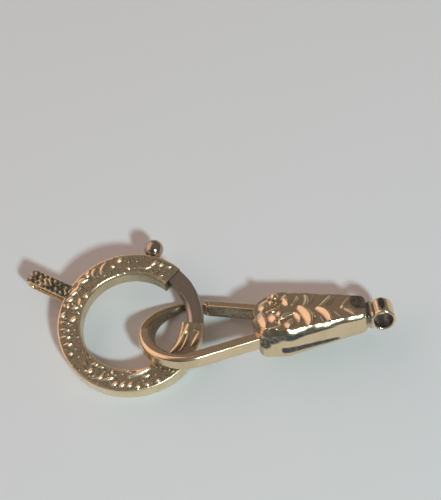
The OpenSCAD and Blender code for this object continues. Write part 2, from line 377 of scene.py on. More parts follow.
# Leaves of the ring, with angles in degrees for x and to_x
RING_LEAVES = tuple(Leaf(*row) for row in (
    # Long sprig by the knob
    (80, -0.5, 66, -0.05, 0.15, 0.13), (67.5, 0.0, 63.5, 0.75, 0.05, 0.14), (60, 0.15, 57.5, 0.7, 0, 0.14),
    (54, -0.65, 51, -0.45, 0, 0.12), (53, 0.35, 49.5, 0.8, 0, 0.12), (91, -0.55, 86.5, -0.4),
    # Scrolls up the left side to the bail
    (99, 0.35, 93.5, 0.75), (106, 0.0, 101, 0.15, 0, 0.14), (117, -0.15, 107.5, 0.75, -0.12, 0.17, 0.15),
    (124, 0.0, 117.5, 0.65, -0.2, 0.2), (129, 0.5, 123.5, 0.85, 0, 0.2), (138, 0.75, 129.5, 0.4, 0, 0.2),
    (150, 0.62, 137.5, 0.25, 0.05, 0.24, 0.16), (147, -0.1, 127.5, 0.05, -0.5, 0.14, 0.16),
    (146.5, -0.6, 137, -0.85, 0, 0.13), (156.5, 0.7, 150, 0.2, 0, 0.2, 0.15),
    (157, -0.65, 149, -0.35, 0.1, 0.24, 0.15), (155.5, 0.1, 157, -0.4, 0.15, 0.14),
    (159, 0.85, 162, 0.4, 0, 0.16), (162, 0.45, 157, 0.3), (162, -0.1, 158, -0.65, 0, 0.16),
    (165.5, -0.65, 162, -0.85, 0, 0.14),
    (171, 0.75, 165.5, 0.4, 0, 0.2, 0.15), (175, -0.15, 168, -0.75, 0, 0.2, 0.15),
    (178, -0.9, 192, -0.85, 0, 0.13, 0.1),
    # Plainer stretch, then slanted strokes along the near side
    (205.5, 0.65, 205, 0.15), (218, -0.25, 225.5, 0.15, 0, 0.12, 0.08), (218, -0.85, 222.5, -0.8),
    (226, -0.35, 231.5, -0.85, 0, 0.2), (228, 0.5, 229.5, -0.2, 0, 0.17), (233, -0.45, 238.5, -0.85),
    (234, 0.65, 240.5, -0.4, 0.3, 0.14), (247.5, -0.4, 249, -0.85, 0, 0.14),
    (242.5, 0.45, 251.5, -0.2, 0, 0.16), (263.5, -0.8, 268.5, -0.82, 0, 0.14),
    # Pointed leaf beside the hook's loop
    (273, -0.85, 289, -0.8, 0.1, 0.17, 0.17), (265, -0.35, 288, -0.7, -0.05, 0.17, 0.17),
    (277, -0.1, 286, -0.15, 0, 0.14),
    # Bars on the left, slanted strokes and small ones along the outer edge
    *((angle, 0.75, angle + 1.3, -0.1, 0, 0.17, 0.16) for angle in (175, 181.8, 188.6, 195.6)),
    *((angle, 0.7, angle + 4.6, 0.15, 0, 0.16) for angle in (251.5, 257.8, 264.2)),
    *((angle, 0.8, angle + 4.0, 0.55, 0, 0.14) for angle in (271, 278.5, 287.5)),
    # Forked lines and a short curl on the end that takes the bolt
    (350, -0.4, 338, -0.62, -0.06, 0.19, 0.19), (340, -0.6, 313, -0.8, 0, 0.19, 0.19),
    (342, -0.3, 320, -0.22, -0.05, 0.13, 0.17), (343.5, 0.2, 343, 0.75, 0, 0.12),
    (343, 0.78, 329, 0.5, 0.05, 0.16, 0.17),
))

# Leaves of the hook's body, in its own plan
HOOK_LEAVES = tuple(Leaf(*row) for row in (
    # Petals round the end, leaning away from the ring
    (1.0, 1.9, 1.75, 2.35, 0.06, 0.34, 0.2, -0.5), (0.42, 0.15, 0.95, 1.7, 0.12, 0.5, 0.26, -0.6),
    (0.62, -2.35, 0.25, -0.1, 0.06, 0.48, 0.34, -0.6),
    # Heart of the first flower
    (0.85, 0.0, 2.1, 0.8, -0.2, 0.34, 0.2, -0.5), (1.25, 1.0, 1.2, 1.5, 0, 0.32, 0.24, -0.5),
    (1.6, -1.55, 1.25, -0.45, 0.1, 0.46, 0.32, -0.6), (2.0, -0.75, 1.85, -0.1, 0, 0.3, 0.22, -0.5),
    (0.95, -2.45, 2.1, -1.95, -0.22, 0.32, 0.2, -0.5), (2.0, -1.95, 1.85, -1.15, 0, 0.22, 0.2, -0.4),
    # Second flower, far and near
    (2.85, 0.7, 2.65, 2.3, 0.2, 0.38, 0.28, -0.5), (3.15, 0.75, 3.75, 2.0, -0.2, 0.22, 0.22),
    (2.72, -2.5, 2.95, -1.3, 0.05, 0.46, 0.24, -0.6), (2.1, -1.15, 3.2, -0.6, 0.18, 0.32, 0.34, -0.4),
    (3.2, -0.5, 3.75, -1.75, 0.22, 0.32, 0.28, 0.4),
    # Chevrons of paired leaves down the narrow end
    (3.75, 0.4, 4.6, -2.25, 0.42, 0.56, 0.34, 0.45), (4.0, 0.25, 4.5, 2.2, -0.35, 0.26, 0.18, -0.3),
    (4.9, -0.6, 5.25, -1.1, 0, 0.24, 0.2), (5.45, 0.1, 6.5, -1.9, 0.35, 0.42, 0.3, 0.4),
    (5.6, 0.2, 6.8, 1.85, -0.12, 0.26, 0.18, -0.3), (7.7, 0.15, 7.95, -0.15, 0, 0.22, 0.2, 0.3),
    (7.9, -0.1, 8.9, -1.2, 0.1, 0.26, 0.1, 0.1), (7.85, 0.3, 8.55, 1.4, -0.05, 0.2, 0.12),
    # Faint ribs between the chevrons
    (4.75, 0.6, 5.3, 2.1, -0.1, 0.13, 0.06), (6.3, 0.3, 7.2, 1.7, -0.1, 0.13, 0.06),
    (5.7, -1.0, 6.0, -1.9, 0, 0.13, 0.06), (7.0, -0.4, 7.6, -1.3, 0, 0.13, 0.06),
))


class Slot(Enum):
    """Material slots of the construction record."""

    RING = "ring_gold"
    HOOK = "hook_gold"
    POLISHED = "polished_gold"


def set_inputs(node: bpy.types.Node, values: dict[str, object]) -> None:
    """Sets a node's own inputs by their names."""
    for name, value in values.items():
        node.inputs[name].default_value = value


def link(tree: Tree, source: bpy.types.Node, target: bpy.types.Node, names: dict[str, str]) -> None:
    """Links a node's outputs to another's inputs by their names."""
    for output, taken in names.items():
        tree.links.new(source.outputs[output], target.inputs[taken])


def math_node(tree: Tree, operation: str, first: Socket | float, second: Socket | float) -> Socket:
    """Adds a math node.

    Args:
        tree: Node tree to build in.
        operation: What the node works out.
        first: Socket or number that it starts from.
        second: Socket or number that it takes in.

    Returns:
        The socket of its result.
    """
    node = tree.nodes.new("ShaderNodeMath")
    node.operation = operation
    for socket, value in zip(node.inputs, (first, second)):
        if isinstance(value, Socket):
            tree.links.new(value, socket)
        else:
            socket.default_value = value
    return node.outputs[0]


@dataclass(frozen=True)
class Cloud:
    """A noise over Object coordinates, stretched so that low to high becomes 0 to 1."""

    scale: float
    detail: float
    low: float = 0.0
    high: float = 1.0

    def value(self, tree: Tree, where: Socket) -> Socket:
        """Adds the noise and its stretch.

        Args:
            tree: Node tree to build in.
            where: Socket of the coordinates.

        Returns:
            The socket of the stretched value.
        """
        noise = tree.nodes.new("ShaderNodeTexNoise")
        set_inputs(noise, {"Scale": self.scale, "Detail": self.detail})
        tree.links.new(where, noise.inputs["Vector"])
        stretch = tree.nodes.new("ShaderNodeMapRange")
        set_inputs(stretch, {"From Min": self.low, "From Max": self.high})
        tree.links.new(noise.outputs[0], stretch.inputs["Value"])
        return stretch.outputs[0]


class Effects:
    """The node groups that every finish of the object shares."""

    patches = Cloud(700, 4, 0.42, 0.72)
    mottle = Cloud(5200, 3, 0.3, 0.75)
    dents = Cloud(900, 2)
    grain = Cloud(9000, 3)
    mottle_low, mottle_share = 0.75, 0.5
    tarnish_dull, patch_dull, tarnish_metal = 0.22, 0.05, 0.25

    def __init__(self) -> None:
        """Builds both groups once."""
        self.tarnish_and_shade_tone = self.tarnish_and_shade_tone_group()
        self.wear_grain = self.wear_grain_group()

    def group(self, name: str, inputs: dict[str, str], outputs: dict[str, str]) -> tuple:
        """Starts a shader node group with named sockets.

        Args:
            name: Name of the group.
            inputs: Socket kind of each input, by name.
            outputs: Socket kind of each output, by name.

        Returns:
            The group, its inputs' sockets, its outputs' sockets and the socket of Object coordinates.
        """
        group = bpy.data.node_groups.new(name, "ShaderNodeTree")
        for sockets, way in ((inputs, "INPUT"), (outputs, "OUTPUT")):
            for socket, kind in sockets.items():
                group.interface.new_socket(socket, in_out=way, socket_type="NodeSocket" + kind)
        given, out = group.nodes.new("NodeGroupInput"), group.nodes.new("NodeGroupOutput")
        return group, given.outputs, out.inputs, group.nodes.new("ShaderNodeTexCoord").outputs["Object"]

    def tarnish_and_shade_tone_group(self) -> Tree:
        """Builds the group that darkens gold in its hollows as tarnish, where shade is painted, and in loose
        patches.

        Returns:
            The group.
        """
        group, given, out, where = self.group(
            "tarnish_and_shade_tone",
            {"Clean": "Color", "DarkTone": "Color", "TarnishAndShade": "Float", "Patches": "Float", "Polish": "Float"},
            {"Colour": "Color", "Roughness": "Float", "Metallic": "Float"})
        times, plus = partial(math_node, group, "MULTIPLY"), partial(math_node, group, "ADD")
        cloud = self.patches.value(group, where)
        mottle = plus(times(self.mottle.value(group, where), self.mottle_share), self.mottle_low)
        worn = plus(times(mottle, given["TarnishAndShade"]), times(cloud, given["Patches"]))
        amount = math_node(group, "MINIMUM", worn, 1.0)
        mix = group.nodes.new("ShaderNodeMix")
        mix.data_type = "RGBA"
        dull = plus(times(amount, self.tarnish_dull), given["Polish"])
        for source, target in (
                (amount, mix.inputs["Factor"]), (given["Clean"], mix.inputs["A"]),
                (given["DarkTone"], mix.inputs["B"]), (mix.outputs["Result"], out["Colour"]),
                (plus(dull, times(cloud, self.patch_dull)), out["Roughness"]),
                (math_node(group, "SUBTRACT", 1.0, times(amount, self.tarnish_metal)), out["Metallic"])):
            group.links.new(source, target)
        return group

    def wear_grain_group(self) -> Tree:
        """Builds the group that gives the height of dents, hairlines and cast grain.

        Returns:
            The group.
        """
        group, given, out, where = self.group(
            "wear_grain", {"Dents": "Float", "Grain": "Float"}, {"Height": "Float"})
        dents = math_node(group, "MULTIPLY", self.dents.value(group, where), given["Dents"])
        grain = math_node(group, "MULTIPLY", self.grain.value(group, where), given["Grain"])
        group.links.new(math_node(group, "ADD", dents, grain), out["Height"])
        return group

    def place(self, tree: Tree, group: Tree, values: dict[str, object]) -> bpy.types.Node:
        """Adds one of the groups to a material's tree.

        Args:
            tree: Node tree of the material.
            group: One of the two groups.
            values: Values of the group's own inputs, by name.

        Returns:
            The group's node.
        """
        node = tree.nodes.new("ShaderNodeGroup")
        node.node_tree = group
        set_inputs(node, values)
        return node


@dataclass(frozen=True)
class GoldFinish:
    """One finish of the worn pale gold."""

    name: str
    clean: Triple = (0.88, 0.69, 0.45)
    # Colour that the per-vertex amount mixes towards, both for tarnish and for painted shade.
    tarnish: Triple = (0.15, 0.12, 0.09)
    polish: float = 0.16
    patches: float = 0.15
    dents: float = 0.5
    grain: float = 0.12
    depth: float = 0.00003

    def material(self, effects: Effects) -> bpy.types.Material:
        """Builds the finish as a node material.

        Args:
            effects: The shared node groups.

        Returns:
            The material.
        """
        made = bpy.data.materials.new(self.name)
        made.use_nodes = True
        tree = made.node_tree
        gold = tree.nodes["Principled BSDF"]
        tone = effects.place(tree, effects.tarnish_and_shade_tone, {
            "Clean": (*self.clean, 1), "DarkTone": (*self.tarnish, 1),
            "Patches": self.patches, "Polish": self.polish})
        # Reads the per-vertex amount of tarnish and painted shade.
        hollow = tree.nodes.new("ShaderNodeAttribute")
        hollow.attribute_name = TARNISH_AND_SHADE
        link(tree, hollow, tone, {"Fac": "TarnishAndShade"})
        link(tree, tone, gold, {"Colour": "Base Color", "Roughness": "Roughness", "Metallic": "Metallic"})
        grain = effects.place(tree, effects.wear_grain, {"Dents": self.dents, "Grain": self.grain})
        bump = tree.nodes.new("ShaderNodeBump")
        set_inputs(bump, {"Distance": self.depth})
        link(tree, grain, bump, {"Height": "Height"})
        link(tree, bump, gold, {"Normal": "Normal"})
        return made


RING_GOLD = GoldFinish("ring_worn_gold", tarnish=(0.1, 0.088, 0.065), patches=0.12, polish=0.26, grain=0.3)
BAIL_GOLD = GoldFinish("bail_gold", tarnish=(0.07, 0.075, 0.055), patches=0.1, polish=0.15, grain=0.3)
HOOK_GOLD = GoldFinish("hook_cast_gold", tarnish=(0.085, 0.08, 0.08), patches=0.12, polish=0.14, grain=0.3)
LOOP_GOLD = GoldFinish("loop_gold", tarnish=(0.12, 0.1, 0.085), patches=0.15, polish=0.15)
# The bolt and knob take a darker clean colour than the other gold, as painted shade over their rubbed
# patches.
BOLT_GOLD = GoldFinish("bolt_rubbed_and_shaded_gold", clean=(0.5, 0.42, 0.35), patches=0.3, polish=0.22)
KNOB_GOLD = GoldFinish("knob_rubbed_and_shaded_gold", clean=(0.47, 0.39, 0.31), patches=0.3, polish=0.17, dents=0.4)
PEARL_GOLD = GoldFinish("pearl_polished_gold", patches=0.05, polish=0.09, dents=0.2)
EYE_GOLD = GoldFinish("eye_polished_gold", tarnish=(0.06, 0.07, 0.08), patches=0.1, polish=0.11)


def mesh_of(name: str, shape: Shape, material: bpy.types.Material) -> bpy.types.Mesh:
    """Turns a shape into a mesh.

    Args:
        name: Name of the mesh.
        shape: The shape, used up by the call.
        material: The mesh's only material.

    Returns:
        The mesh.
    """
    mesh = bpy.data.meshes.new(name)
    shape.to_mesh(mesh)
    shape.free()
    mesh.materials.append(material)
    return mesh


def put_in_scene(name: str, data: bpy.types.ID) -> bpy.types.Object:
    """Makes an object and links it to the scene.

    Args:
        name: Name of the object.
        data: Its mesh, light or camera.

    Returns:
        The object.
    """
    made = bpy.data.objects.new(name, data)
    bpy.context.scene.collection.objects.link(made)
    return made


@dataclass
class Workshop:
    """Turns finished shapes into pieces of the model."""

    effects: Effects = field(default_factory=Effects)
    finishes: dict[str, bpy.types.Material] = field(default_factory=dict)

    def finish(self, gold: GoldFinish) -> bpy.types.Material:
        """Looks up the material of a finish, and builds it on its first use.

        Args:
            gold: The finish.

        Returns:
            The material.
        """
        if gold.name not in self.finishes:
            self.finishes[gold.name] = gold.material(self.effects)
        return self.finishes[gold.name]

    def piece(self, name: str, shape: Shape, place: Matrix, gold: GoldFinish, slot: Slot,
              body: str, *nodes: str) -> bpy.types.Object:
        """Makes a piece from a shape, dresses it and hangs it on its body.

        Args:
            name: Name of the piece.
            shape: Closed shape in its local frame, used up by the call.
            place: Placement of the local frame.
            gold: Finish of the piece.
            slot: Material slot that it takes in the record; not used.
            body: Body that it moves with.
            *nodes: Nodes of the construction model that it stands for.

        Returns:
            The new piece.
        """
        bmesh.ops.transform(shape, matrix=place, verts=shape.verts)
        for face in shape.faces:
            face.smooth = True
        made = put_in_scene(name, mesh_of(name, shape, self.finish(gold)))
        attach(made, body)
        if nodes:
            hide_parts(*nodes)
        log.info("%s: %d faces, on %s", name, len(made.data.polygons), body)
        return made

    def cut(self, piece: bpy.types.Object, tool: Shape, place: Matrix) -> None:
        """Cuts a tool's shape out of a piece.

        Args:
            piece: Piece to cut.
            tool: Closed shape to take away, used up by the call.
            place: Placement of the tool's frame.
        """
        bmesh.ops.transform(tool, matrix=place, verts=tool.verts)
        mesh = mesh_of("cutter", tool, piece.data.materials[0])
        cutter = put_in_scene("cutter", mesh)
        boolean = piece.modifiers.new("cut", "BOOLEAN")
        boolean.operation = "DIFFERENCE"
        boolean.solver = "EXACT"
        boolean.object = cutter
        depsgraph = bpy.context.evaluated_depsgraph_get()
        cut_mesh = bpy.data.meshes.new_from_object(piece.evaluated_get(depsgraph))
        piece.modifiers.clear()
        old = piece.data
        piece.data = cut_mesh
        cut_mesh.name = old.name + "_cut"
        bpy.data.meshes.remove(old)
        bpy.data.objects.remove(cutter)
        bpy.data.meshes.remove(mesh)


@dataclass
class RingTube:
    """The hollow squared ring with its chased upper face."""

    outer_r: float = 7.0
    width: float = 2.2
    height: float = 1.9
    edge: float = 0.3
    inner_edge: float = 0.42
    low_edge: float = 0.08
    wall: float = 0.25
    inner_wall: float = 0.5
    outer_wall: float = 0.09
    gap_from: float = -9.0
    gap_to: float = 44.0
    slot_at: float = 71.0
    slot_travel: float = 55.0
    slot_w: float = 0.96
    slot_steps: int = 40
    slot_depth: Pair = (0.2, 0.5)
    bore_edge: float = 0.12
    ground: float = 0.08
    broad: float = 1.45
    lean: float = 0.35
    foot_reach: float = 0.1
    mouth_round: float = 0.1
    mouth_length: float = 0.6
    edge_stops: tuple[float, ...] = (0.1, 0.21, 0.5, 0.72, 0.79, 0.9)
    face_fade: Pair = (1.02, 0.9)
    face_up: float = 0.85
    hollow_rise: Pair = (0.11, 0.03)
    hollow_dark: Pair = (0.6, 0.4)
    inner_facing: Pair = (-0.6, -1.0)
    inner_wall_shade: Pair = (0.25, 0.1)
    inner_waves: float = 13.0
    shade: float = 1.6
    shade_angles: Pair = (1.75, 1.0)
    bore_shade: float = 0.9
    steps: int = 900
    bore_steps: int = 100
    round_steps: int = 64

    @property
    def mid_r(self) -> float:
        """Radius of the tube's middle line."""
        return self.outer_r - self.width / 2

    def laid_out(self, drawn: Leaf) -> Leaf:
        """Lays a leaf flat along the ring's middle line, its broader flank falling to the left of the view.

        Args:
            drawn: The leaf, with angles in degrees for x and to_x.

        Returns:
            The leaf in millimetres.
        """
        x, to_x = (math.radians(angle) * self.mid_r for angle in (drawn.x, drawn.to_x))
        run = (to_x - x, drawn.to_y - drawn.y)
        middle = math.radians((drawn.x + drawn.to_x) / 2)
        facing = -(run[1] * math.sin(middle) + run[0] * math.cos(middle)) / math.hypot(*run)
        return replace(drawn, x=x, to_x=to_x, width=drawn.width * self.broad, lean=-self.lean * facing)

    def fill(self) -> list[Leaf]:
        """Strews small curled strokes over the ground between the measured ones.

        Returns:
            The strokes, drawn as the ring's other leaves are.
        """
        first, last, apart = 50, 306, 1.9
        spread, limit, along, over, bow = 0.78, 0.85, 3.0, 0.38, 0.07
        found = []
        for number, angle in enumerate(np.arange(first, last, apart)):
            across, aim = spread * math.sin(number * 2.4), number * apart
            to_across = max(-limit, min(limit, across + over * math.sin(aim)))
            found.append(Leaf(angle, across, angle + along * math.cos(aim), to_across,
                              bow * math.sin(number), width=0.095, height=0.08))
        return found

    def shape(self) -> Shape:
        """Lays one grid over the chased skin, the cut end, the bore and back to the start.

        Returns:
            The tube's closed shape.
        """
        last_out, last_in = self.steps, self.steps + 1 + self.bore_steps
        shape, u, v = sheet(last_in + 1, self.round_steps)
        row = np.rint(u * (last_in + 1)).astype(int)
        in_bore = (row > last_out) & (row <= last_in)
        way = np.select([row <= last_out, in_bore],
                        [row / self.steps, (last_in - row) / self.bore_steps], 0.0)
        sweep = 360 + self.gap_from - self.gap_to
        angle = np.radians(self.gap_to + way * sweep)
        section = partial(squared_section, v, top=0.45, bottom=0.08)
        edge = np.interp(v, self.edge_stops, [
            self.low_edge, self.edge, self.edge, self.inner_edge, self.inner_edge, self.low_edge])
        across, up, sideways, upward = section(self.width / 2, self.height / 2, edge)
        leaves = [self.laid_out(leaf) for leaf in (*RING_LEAVES, *self.fill())]
        rise = ornament(leaves, angle * self.mid_r, across)
        near = foot(leaves, angle * self.mid_r, across, self.foot_reach)
        face = ease(*self.face_fade, np.abs(across)) * (upward > self.face_up) * ~in_bore
        # Painted shade on the inner wall: faces turned to the ring's middle darken, in waves, and more
        # towards the cut end.
        inner_shade = ease(*self.inner_facing, sideways) * mixed(self.inner_wall_shade, np.sin(up * self.inner_waves))
        inner_shade = inner_shade * (1 + self.shade * ease(*self.shade_angles, angle))
        # Patina in the chased hollows, plus painted shade on the strokes' lower flanks and close beside
        # them.
        hollow = face * ease(*self.hollow_rise, rise) * mixed(self.hollow_dark, near)
        # Painted shade inside the hollow tube, where it shows at the cut end.
        recess = np.where(in_bore, self.bore_shade, np.maximum(inner_shade, hollow))
        up = up + face * (rise - self.ground)
        mouth = np.clip(1 - (1 - way) * np.radians(sweep) * self.outer_r / self.mouth_length, 0, 1)
        across = across - np.maximum(across, 0) * self.mouth_round * (1 - np.sqrt(1 - mouth ** 2))
        low, high = self.outer_r - self.width + self.inner_wall, self.outer_r - self.outer_wall
        bore_across, bore_up, _, _ = section((high - low) / 2, self.height / 2 - self.wall, self.bore_edge)
        radius = np.where(in_bore, (low + high) / 2 + bore_across, self.mid_r + across)
        up = np.where(in_bore, bore_up, up)
        return formed(shape, np.column_stack([radius[:, None] * rays(angle), up + self.height / 2]), recess)

    def slot_tool(self) -> Shape:
        """Makes the curved block that cuts the knob's slot through the outer wall.

        Returns:
            The closed block.
        """
        tool = bmesh.new()
        inner, outer = self.mid_r + self.slot_depth[0], self.outer_r + self.slot_depth[1]
        half = self.slot_w / 2
        tool.faces.new([tool.verts.new((r, 0, self.height / 2 + z)) for r, z in
                        ((inner, -half), (outer, -half), (outer, half), (inner, half))])
        margin = math.degrees(half / self.outer_r)
        turn(tool, self.slot_at - margin)
        bmesh.ops.spin(tool, geom=tool.faces[:] + tool.edges[:] + tool.verts[:], cent=ORIGIN,
                       axis=(0, 0, 1), angle=math.radians(self.slot_travel + 2 * margin),
                       steps=self.slot_steps, use_merge=False)
        face_out(tool)
        return tool

    def build(self, shop: Workshop, place: Matrix) -> None:
        """Makes the ring's tube and cuts the knob's slot."""
        tube = shop.piece("ring_tube_skin", worn_flat(self.shape(), place), place, RING_GOLD, Slot.RING,
                          "root", "ring_tube")
        shop.cut(tube, self.slot_tool(), place)


@dataclass
class Bail:
    """The flattened loop of band that stands out from the ring."""

    at: float = 148.0
    ring_r: float = 7.0
    clear: float = 0.02
    reach: float = 4.48
    height: float = 1.84
    width: float = 1.45
    wall: float = 0.35
    edge: float = 0.12
    bead_height: float = 0.05
    bead_rise: Pair = (0.75, 0.35)
    bead_dark: Pair = (0.3, 0.7)
    chased_rim: float = 0.15
    rubbed: float = 0.9
    rubbed_at: Pair = (2.6, 0.45)
    lift: float = 0.95
    steps: int = 260
    round_steps: int = 40

    def beads(self, way: Array, across: Array) -> Array:
        """Draws the uneven pattern of the beads.

        Args:
            way: Way of the vertices round the loop.
            across: Their way across the band.

        Returns:
            The pattern's value at each vertex, from -1.5 to 1.5.
        """
        rows = np.sin(way * 6.1 + 2.2 * np.sin(across * 5.3))
        files = np.sin(across * 7.7 + 1.7 * np.sin(way * 3.1))
        return rows * files + 0.5 * np.sin(way * 11.3 + across * 6.1)

    def shape(self) -> Shape:
        """Bends the band round its flattened loop, with beaded chasing outside.

        Returns:
            The band's closed shape, turned to its place on the ring.
        """
        shape, u, v = sheet(self.steps, self.round_steps)
        half = (self.height - self.wall) / 2
        near, far = self.ring_r + self.clear, self.ring_r + self.reach - self.height / 2
        straight, bend = far - near, math.pi * half
        way = u * (2 * straight + 2 * bend)
        leg = np.searchsorted([straight, straight + bend, 2 * straight + bend], way, side="right")
        legs = [leg == 0, leg == 1, leg == 2]
        around = np.select(legs, [np.pi / 2, np.pi / 2 - (way - straight) / half, -np.pi / 2],
                           -np.pi / 2 - (way - 2 * straight - bend) / half)
        middle_r = np.select(legs, [near + way, far, far - (way - straight - bend)], near)
        across, thick, _, outward = squared_section(
            v, self.width / 2, self.wall / 2, self.edge, top=0.5, bottom=0.14)
        beads = self.beads(way, across)
        chased = (outward > FLAT) * ease(self.width / 2, self.width / 2 - self.chased_rim, np.abs(across))
        thick = thick + chased * self.bead_height * beads
        rubbed = self.rubbed * hump(self.rubbed_at, way)
        recess = chased * mixed(self.bead_dark, ease(*self.bead_rise, beads + rubbed))
        radius = middle_r + np.cos(around) * (half + thick)
        up = np.sin(around) * (half + thick) + self.lift
        formed(shape, np.stack([radius, across, up], 1), recess)
        turn(shape, self.at)
        return shape

    def build(self, shop: Workshop, place: Matrix) -> None:
        """Makes the bail, soldered to the ring's outer wall."""
        shop.piece("ring_bail", self.shape(), place, BAIL_GOLD, Slot.RING, "root")


@dataclass
class RingBolt:
    """The curved bolt that closes the ring, with its thumb knob."""

    inner_r: float = 5.34
    outer_r: float = 6.88
    height: float = 1.32
    lift: float = 0.95
    tip_at: float = -12.0
    tail_at: float = 79.0
    edge_angles: Triple = (-9.0, 12.0, 30.0)
    edges: Triple = (0.5, 0.4, 0.1)
    side_angles: Pair = (2.0, 16.0)
    side_shade: Pair = (0.0, 0.9)
    side_facing: float = -0.2
    streak_dark: float = 0.4
    scratch: float = 0.008
    knob_at: float = 71.0
    knob_d: float = 1.9
    knob_r: float = 8.05
    neck_d: float = 0.8
    neck_root: float = 0.3
    steps: int = 160
    round_steps: int = 48

    def tongue(self) -> Shape:
        """Bends the bolt's squared section along its arc, with rubbed streaks on top and painted shade on
        its inner side.

        Returns:
            The tongue's closed shape.
        """
        shape, u, v = sheet(self.steps, self.round_steps)
        degrees = self.tip_at + u * (self.tail_at - self.tip_at)
        angle = np.radians(degrees)
        edge = np.interp(degrees, self.edge_angles, self.edges)
        across, up, sideways, upward = squared_section(
            v, (self.outer_r - self.inner_r) / 2, self.height / 2, edge, top=0.34, bottom=0.12)
        streak = 0.5 + 0.3 * np.sin(across * 31 + np.sin(angle * 5)) + 0.2 * np.sin(across * 57 - angle * 3)
        # Painted shade on the tongue's inner side wall, none near its tip and full from 16 degrees on.
        side = np.interp(degrees, self.side_angles, self.side_shade) * (sideways < self.side_facing)
        recess = np.where(upward > FLAT, self.streak_dark * streak, side)
        up = up - self.scratch * streak * (upward > FLAT)
        radius = (self.inner_r + self.outer_r) / 2 + across
        return formed(shape, np.column_stack([radius[:, None] * rays(angle), up + self.lift]), recess)

    def knob(self) -> Shape:
        """Makes the ball on its short neck.

        Returns:
            The knob's shape, turned to its place on the ring.
        """
        shape = bmesh.new()
        shift(shape, (self.knob_r, 0, 0), ball(shape, self.knob_d / 2, 48, 32))
        neck_from = self.outer_r - self.neck_root
        neck = rod(shape, self.neck_d / 2, self.knob_r - neck_from)
        turn(shape, 90, "Y", neck)
        shift(shape, ((self.knob_r + neck_from) / 2, 0, 0), neck)
        shift(shape, (0, 0, self.lift))
        turn(shape, self.knob_at)
        face_out(shape)
        return shape

    def build(self, shop: Workshop, place: Matrix) -> None:
        """Makes the tongue and the knob, which slide together."""
        shop.piece("bolt_tongue", self.tongue(), place, BOLT_GOLD, Slot.POLISHED, "bolt", "ring_bolt")
        shop.piece("bolt_knob", self.knob(), place, KNOB_GOLD, Slot.POLISHED, "bolt")


